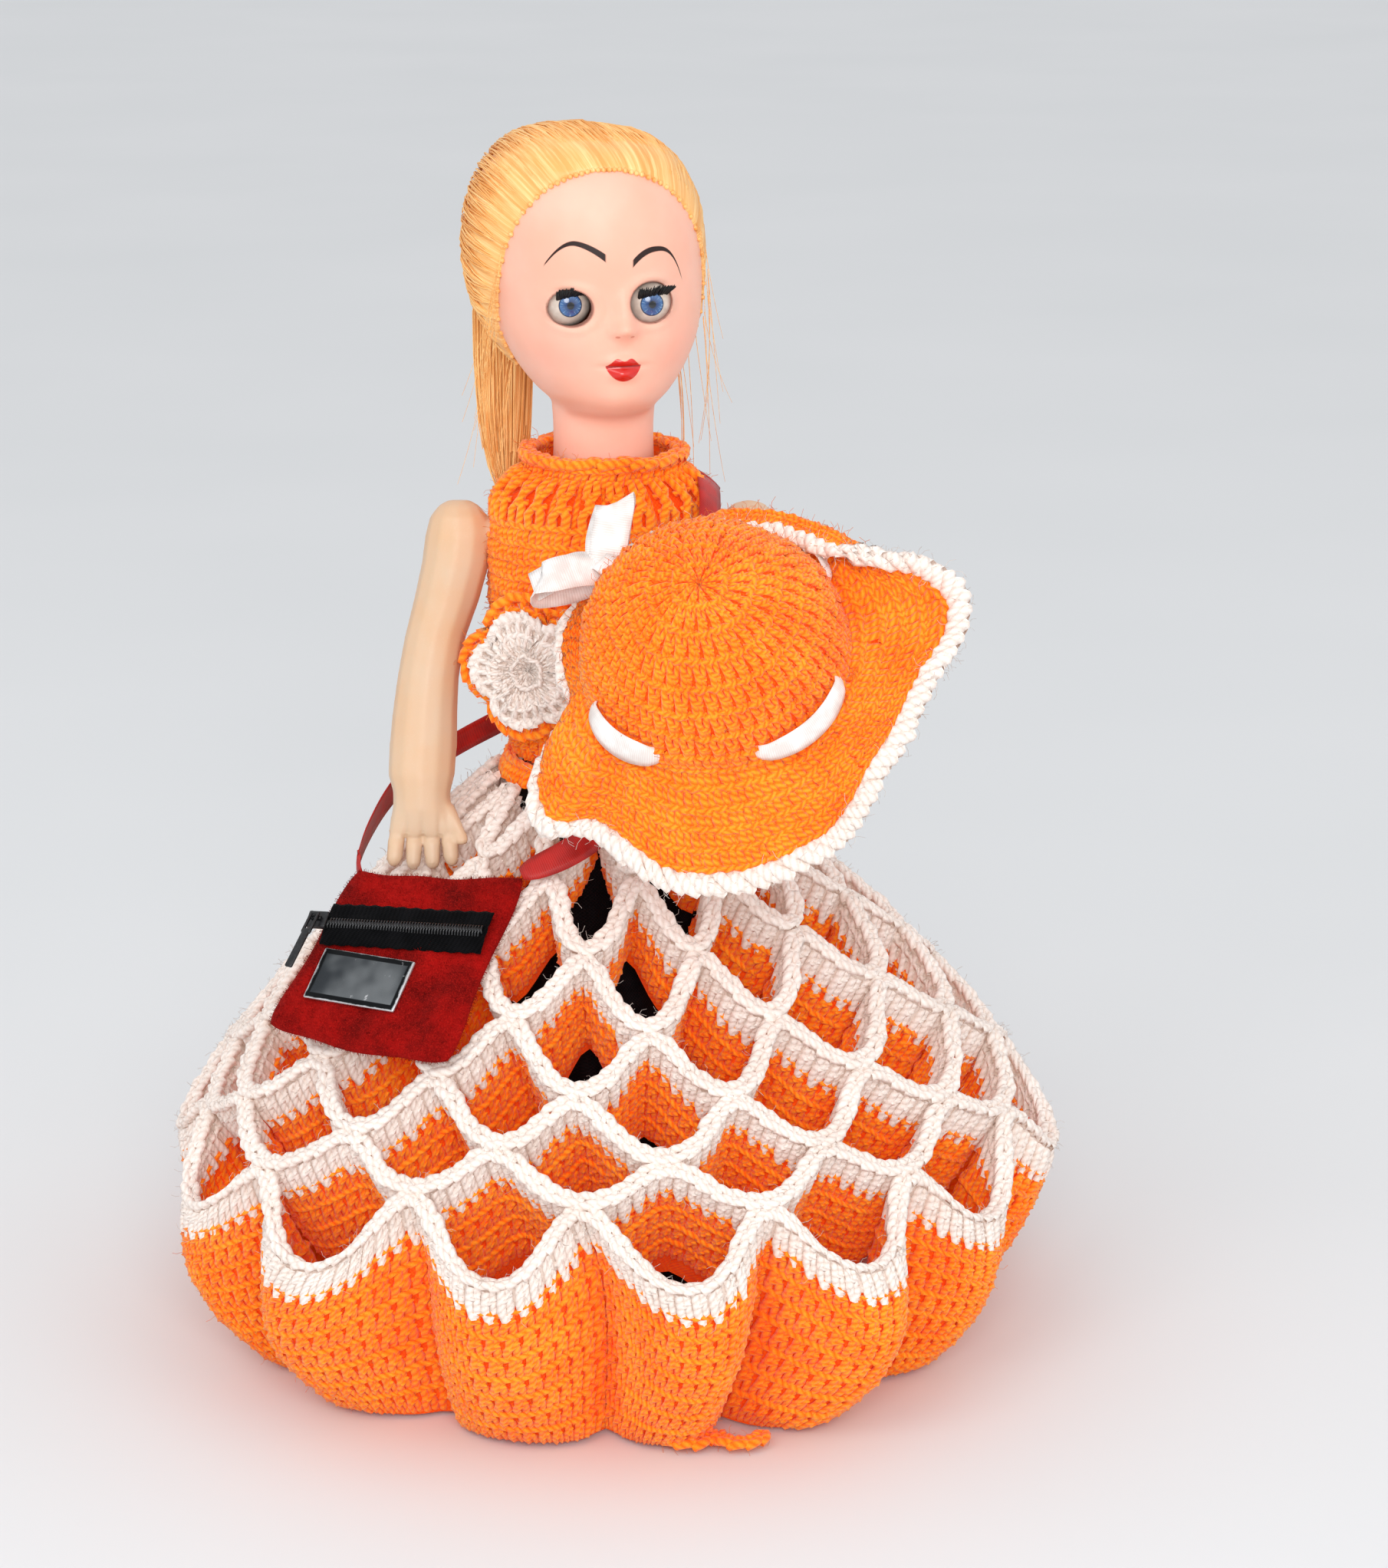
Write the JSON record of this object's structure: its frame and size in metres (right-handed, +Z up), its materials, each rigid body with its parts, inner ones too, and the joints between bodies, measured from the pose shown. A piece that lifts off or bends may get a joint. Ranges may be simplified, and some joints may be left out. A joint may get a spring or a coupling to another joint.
{
  "type": "dressed doll",
  "caption": "Doll with sleeping eyes and swinging limbs in a crocheted bodice and honeycomb hoop skirt, holding a crocheted hat and wearing a zipped shoulder bag.",
  "frame": {"origin": "on the floor under the middle of the skirt, which is the bounding box's bottom centre", "axes": "+Z up the doll; the doll faces -Y; its right side is at -X"},
  "size_m": [0.303, 0.2976, 0.4131],
  "materials": {
    "orange_yarn": "crocheted acrylic yarn",
    "white_yarn": "crocheted acrylic yarn",
    "black_cloth": "matt woven cloth",
    "body_plastic": "blow-moulded, satin",
    "face_vinyl": "soft vinyl, satin",
    "hair_fibre": "rooted synthetic hair",
    "hair_band": "matt",
    "eye_white": "polished",
    "eye_iris": "polished",
    "lash": "matt",
    "wire": "plain",
    "white_satin": "satin ribbon",
    "red_satin": "satin ribbon",
    "red_velvet": "short pile",
    "zip_cloth": "woven tape",
    "zip_teeth": "nylon coil",
    "zip_metal": "black enamel",
    "badge_metal": "stamped, worn"
  },
  "bodies": {
    "figure": {"torso": "body_plastic", "hip_axle": "wire", "bodice": "orange_yarn", "waistband": "orange_yarn", "underskirt": "black_cloth", "skirt_band_1": "orange_yarn", "skirt_band_2": "orange_yarn", "skirt_band_3": "orange_yarn", "skirt_band_4": "orange_yarn", "skirt_band_5": "orange_yarn", "skirt_band_6": "orange_yarn", "skirt_cup_band": "orange_yarn", "flower_orange": "orange_yarn", "flower_white": "white_yarn", "bag_strap_front": "red_satin", "bag_strap_back": "red_satin"},
    "head": {"head_shell": "face_vinyl", "hair_cap": "hair_fibre", "hair_tie": "hair_band", "ponytail": "hair_fibre"},
    "right_eye": {"right_eyeball": "eye_white", "right_iris": "eye_iris", "right_eyelash": "lash", "right_eye_axle": "wire", "right_eye_weight": "wire"},
    "left_eye": {"left_eyeball": "eye_white", "left_iris": "eye_iris", "left_eyelash": "lash", "left_eye_axle": "wire", "left_eye_weight": "wire"},
    "right_arm": {"right_arm": "body_plastic"},
    "left_arm": {"left_arm": "body_plastic"},
    "right_leg": {"right_leg": "body_plastic"},
    "left_leg": {"left_leg": "body_plastic"},
    "hat": {"hat": "orange_yarn", "hat_edging": "white_yarn", "hat_ribbon": "white_satin", "hat_bow": "white_satin"},
    "bag": {"bag_body": "red_velvet", "zip_tape": "zip_cloth", "zip_coil": "zip_teeth", "badge_plate": "badge_metal"},
    "slider": {"zip_slider": "zip_metal"},
    "pull": {"zip_pull": "zip_metal"}
  },
  "joints": [
    {"name": "neck_turn", "type": "hinge", "parent": "figure", "child": "head", "pos_m": [0, 0, 0.3], "axis": [0, 0, 1], "range_deg": [-85, 30]},
    {"name": "right_eye_close", "type": "hinge", "parent": "head", "child": "right_eye", "pos_m": [-0.01115, -0.02762, 0.36], "axis": [0.9744, 0.225, 0], "range_deg": [0, 55]},
    {"name": "left_eye_close", "type": "hinge", "parent": "head", "child": "left_eye", "pos_m": [0.01494, -0.02508, 0.36], "axis": [0.9744, 0.225, 0], "range_deg": [0, 55]},
    {"name": "right_arm_swing", "type": "hinge", "parent": "figure", "child": "right_arm", "pos_m": [-0.0483, 0, 0.278], "axis": [-1, 0, 0], "range_deg": [0, 120]},
    {"name": "left_arm_swing", "type": "hinge", "parent": "figure", "child": "left_arm", "pos_m": [0.0483, 0, 0.278], "axis": [-1, 0, 0], "range_deg": [-5, 26]},
    {"name": "right_leg_swing", "type": "hinge", "parent": "figure", "child": "right_leg", "pos_m": [-0.016, 0, 0.16], "axis": [-1, 0, 0], "range_deg": [-12, 12]},
    {"name": "left_leg_swing", "type": "hinge", "parent": "figure", "child": "left_leg", "pos_m": [0.016, 0, 0.16], "axis": [-1, 0, 0], "range_deg": [-12, 12]},
    {"name": "hat_lift", "type": "slide", "parent": "left_arm", "child": "hat", "axis": [-0.1199, -0.6995, 0.7045], "range_m": [0, 0.09]},
    {"name": "bag_swing", "type": "hinge", "parent": "figure", "child": "bag", "pos_m": [-0.0533, -0.0505, 0.1746], "axis": [-0.9011, 0.424, -0.0905], "range_deg": [0, 60]},
    {"name": "zip_slide", "type": "slide", "parent": "bag", "child": "slider", "axis": [0.9011, -0.424, 0.0905], "range_m": [0, 0.06]},
    {"name": "zip_pull_swing", "type": "hinge", "parent": "slider", "child": "pull", "pos_m": [-0.0936, -0.057, 0.1615], "axis": [-0.3449, -0.5738, 0.7428], "range_deg": [-80, 80]}
  ]
}
